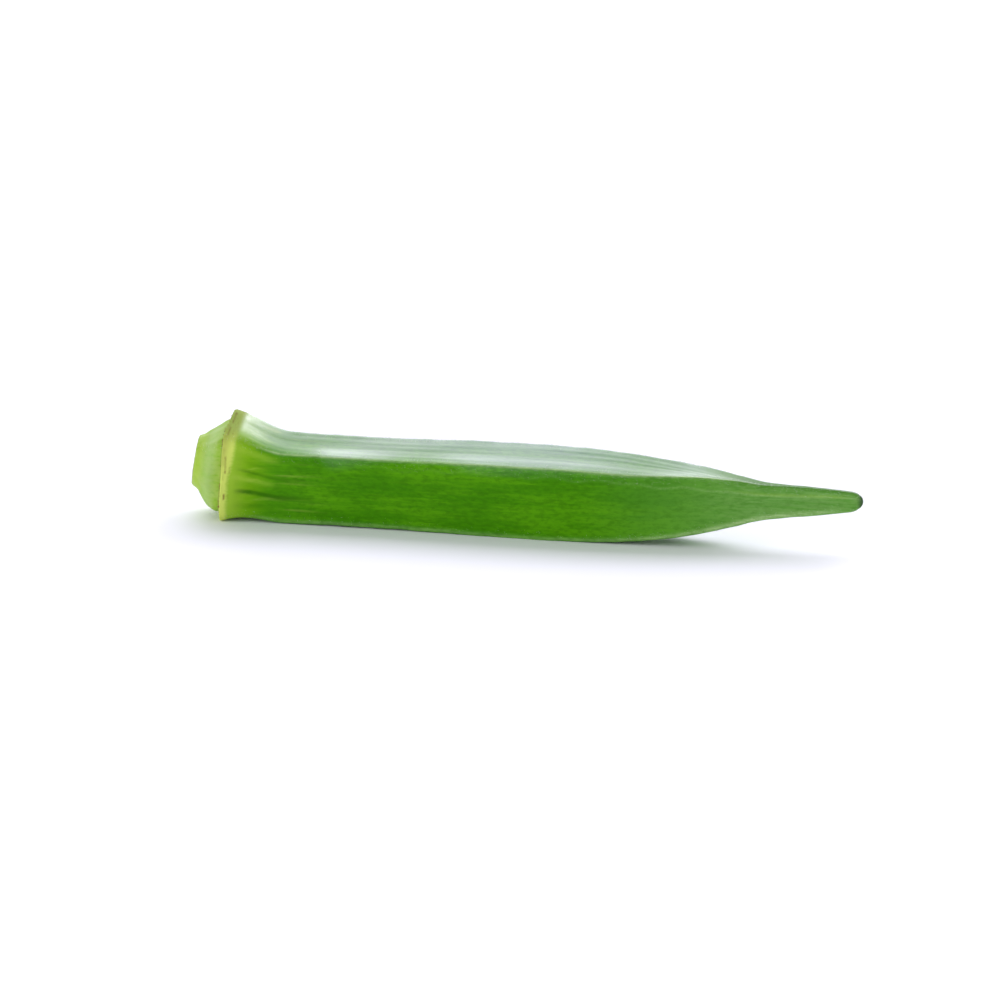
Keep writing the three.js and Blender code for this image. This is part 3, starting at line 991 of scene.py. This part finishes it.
def cut_face(angle):
    """The cut stem's rings, from its rim inwards: the share of the way out of each, and all their points."""
    shares = 1 - np.arange(1, CUT_FACE_RINGS) / CUT_FACE_RINGS
    hollow = CUT_HOLLOW * (1 - shares**2) * smooth_step(*CUT_HOLLOW_OVER, 1 - shares)
    bundles = BUNDLES_HEIGHT * swell(shares, BUNDLES_AT, BUNDLES_WIDTH)
    sunk = (hollow - bundles)[:, None] + waves("cut_fibres", shares[:, None] * CUT_FIBRES_SPREAD, angle)
    return shares, skin_points(np.full((1, 1), CUT_AT), angle, share=shares[:, None], sunk=sunk)


class OKRA_OT_pod(bpy.types.Operator):
    """Grow the pod's skin, from the cut stem to the tip"""

    bl_idname = "okra.pod"
    bl_label = "Pod"

    def execute(self, context):
        along = stations()
        angle = angles_round(along)
        rings, around = angle.shape
        skin = skin_points(along[:, None], angle)
        shares, cut = cut_face(angle[:1])
        middles = [
            skin_points(np.full((1, 1), at), np.zeros((1, 1)), share=0.0, sunk=sunk)
            for at, sunk in ((CUT_AT, CUT_MIDDLE_SUNK), (TIP_AT, 0.0))
        ]
        cut_middle = len(skin) + len(cut)
        cut_rings = [ring(0, around), *(ring(i, around, len(skin)) for i in range(len(shares)))]
        last = ring(rings - 1, around)
        skin_faces = band_faces(rings, around)
        cut_faces = ring_stack(cut_rings) + fan(cut_rings[-1], cut_middle)
        tip_faces = [(a, cut_middle + 1, b) for a, b in zip(last, turned(last))]
        pod = add_object("pod_skin", np.concatenate([skin, cut, *middles]), skin_faces + cut_faces + tip_faces)

        mesh = pod.data
        along, angle = np.repeat(along, around), angle.ravel()
        at_cut = len(cut) + 1
        store(mesh, "along", np.concatenate([along, np.full(at_cut, CUT_AT), [TIP_AT]]))
        store(mesh, "out", np.concatenate([np.ones(len(skin)), np.repeat(shares, around), [0.0, 1.0]]))
        for name, values in (
            ("crest", crest(along, angle, CREST_LINE_WIDTH, CREST_HIGHLIGHT_PAST)),
            ("vein", vein(along, angle)),
            ("up", np.sin(angle)),
            ("wax_and_painted_sheen", wax_and_painted_sheen(along, angle)),
            ("neck", neck_lines(along, angle)),
            ("dash", dry_dashes(angle)),
        ):
            store(mesh, name, np.concatenate([values, np.zeros(at_cut + 1)]))
        for finish in (skin_finish, cut_finish):
            mesh.materials.append(finish(context.scene.okra_colours))
        slots = np.repeat((0, 1, 0), (len(skin_faces), len(cut_faces), len(tip_faces)))
        mesh.polygons.foreach_set("material_index", slots.astype(np.int32))
        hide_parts(NODE)
        claim(pod)
        return {"FINISHED"}


class OKRA_OT_ring(bpy.types.Operator):
    """Set the dry flakes that the fallen calyx left along the ring"""

    bl_idname = "okra.ring"
    bl_label = "Dry ring"

    def execute(self, context):
        sizes = context.scene.okra_sizes
        along = np.linspace(*FLAKES_STRETCH)
        angle = angles_round(along)
        seat = grid_mesh("ring_seat", along, angle)
        share = np.clip(FLAKES_USUAL + waves("flake_clumps", 0.0, angle.ravel()), 0.0, 1.0)
        store(seat.data, "share", share * (heights_of(seat) > FLAKES_ABOVE * MM))
        claim(scatter(
            "ring_flakes", seat, flake_shape(), dry_finish(context.scene.okra_colours),
            sizes.flake_density, sizes.flake_length, sizes.chance,
        ))
        return {"FINISHED"}


class OKRA_OT_down(bpy.types.Operator):
    """Spread short hairs along the ribs"""

    bl_idname = "okra.down"
    bl_label = "Down"

    def execute(self, context):
        sizes = context.scene.okra_sizes
        along = np.concatenate([np.linspace(*stretch) for stretch in DOWN_STRETCHES])
        angle = angles_round(along, DOWN_STEPS_PER_SIDE)
        seat = grid_mesh("down_seat", along, angle, lift=DOWN_ROOTS)
        along, angle = np.repeat(along, angle.shape[1]), angle.ravel()
        share = crest(along, angle, DOWN_WIDTH)
        share[share <= DOWN_LEAST] = 0.0
        share *= DOWN_NECK_SHARE + (1 - DOWN_NECK_SHARE) * smooth_step(*DOWN_NECK_OVER, along)
        share *= smooth_step(*(height * MM for height in DOWN_ABOVE), heights_of(seat))
        store(seat.data, "share", share * (np.abs(along) > DOWN_GAP_AT_RING))
        claim(scatter(
            "pod_down", seat, hair_shape(), down_finish(context.scene.okra_colours),
            sizes.hair_density, sizes.hair_length, sizes.chance + 1,
        ))
        return {"FINISHED"}


def hang(name, data, towards, away=1.0):
    """Hangs a lamp in a direction, so that it shines back to the middle."""
    lamp = new_object(name, data)
    lamp.location = Vector(towards).normalized() * away
    lamp.rotation_euler = Vector(towards).to_track_quat("Z", "Y").to_euler()


def far_window(name, towards, size, radiance):
    """A rectangular lamp far off in a direction, given by its size and by how bright it looks."""
    data = bpy.data.lights.new(name, "AREA")
    data.shape = "RECTANGLE"
    data.size, data.size_y = size
    data.energy = radiance * math.pi * size[0] * size[1]
    data.color = WINDOWS_TINT
    hang(name, data, towards, WINDOWS_AWAY)


def soft_sun(name, towards, strength, width):
    """A lamp that stands in a direction and looks as wide as the angle given, in degrees."""
    data = bpy.data.lights.new(name, "SUN")
    data.energy = strength
    data.angle = math.radians(width)
    hang(name, data, towards)


def pale_room(tint, overhead, at_horizon):
    """A world that is dimmer overhead than along its horizon."""
    world = bpy.data.worlds.new("pale_room")
    world.use_nodes = True
    sheet = Sheet(world.node_tree)
    here = sheet.node("ShaderNodeTexCoord", output="Generated")
    height = sheet.node("ShaderNodeSeparateXYZ", {"Vector": here}, output="Z")
    room = world.node_tree.nodes["Background"]
    room.inputs["Color"].default_value = (*tint, 1.0)
    strength = at_horizon - height.step(*ROOM_DIMS_OVER) * (at_horizon - overhead)
    world.node_tree.links.new(strength.socket, room.inputs["Strength"])
    return world


def stand_camera(stage):
    """The camera stands off from the pod's middle and looks at it, moved a little left and down."""
    turned_by, raised = stage.camera_turn, stage.camera_height
    level = math.cos(raised)
    back = Vector((math.sin(turned_by) * level, -math.cos(turned_by) * level, math.sin(raised)))
    right = Vector((math.cos(turned_by), math.sin(turned_by), 0.0))
    up = back.cross(right)
    data = bpy.data.cameras.new("camera")
    data.lens = stage.lens
    data.sensor_width = SENSOR_WIDTH
    data.clip_start, data.clip_end = SEEN_FROM_TO
    camera = new_object("camera", data)
    camera.location = (
        Vector(LOOKED_AT) + back * stage.camera_distance - right * stage.aim_left - up * stage.aim_down
    )
    camera.rotation_euler = (-back).to_track_quat("-Z", "Y").to_euler()
    return camera


class OKRA_OT_stage(bpy.types.Operator):
    """Lay a pale floor, hang soft lights and stand the camera"""

    bl_idname = "okra.stage"
    bl_label = "Stage"

    def execute(self, context):
        scene = context.scene
        corners = [(x * FLOOR_HALF, y * FLOOR_HALF, 0) for x, y in ((-1, -1), (1, -1), (1, 1), (-1, 1))]
        floor = add_object("floor", corners, [(0, 1, 2, 3)], smooth=False)
        floor.data.materials.append(floor_finish(scene.okra_stage))
        for window in WINDOWS:
            far_window(*window)
        soft_sun("left_window", LEFT_LIGHT_TOWARDS, LEFT_LIGHT_STRENGTH, LEFT_LIGHT_DEGREES)
        scene.world = pale_room(ROOM_TINT, ROOM_OVERHEAD, ROOM_AT_HORIZON)
        scene.view_settings.view_transform = "Standard"
        scene.camera = stand_camera(scene.okra_stage)
        return {"FINISHED"}


PIECES = (OKRA_OT_pod, OKRA_OT_ring, OKRA_OT_down, OKRA_OT_stage)
SETTINGS = (("okra_colours", OkraColours), ("okra_sizes", OkraSizes), ("okra_stage", OkraStage))


class OKRA_PT_panel(bpy.types.Panel):
    """Lists the pod's pieces and their settings"""

    bl_idname = "OKRA_PT_panel"
    bl_label = "Okra pod"
    bl_space_type = "VIEW_3D"
    bl_region_type = "UI"
    bl_category = "Okra"

    def draw(self, context):
        for piece in PIECES:
            self.layout.operator(piece.bl_idname)
        for name, group in SETTINGS:
            box = self.layout.box()
            for prop in group.__annotations__:
                box.prop(getattr(context.scene, name), prop)


CLASSES = (OkraColours, OkraSizes, OkraStage, *PIECES, OKRA_PT_panel)


def register():
    for made in CLASSES:
        bpy.utils.register_class(made)
    for name, group in SETTINGS:
        setattr(bpy.types.Scene, name, PointerProperty(type=group))


def unregister():
    for name, _ in SETTINGS:
        delattr(bpy.types.Scene, name)
    for made in reversed(CLASSES):
        bpy.utils.unregister_class(made)


def main():
    register()
    bpy.ops.okra.pod()
    bpy.ops.okra.ring()
    bpy.ops.okra.down()
    bpy.ops.okra.stage()


if __name__ == "__main__":
    main()
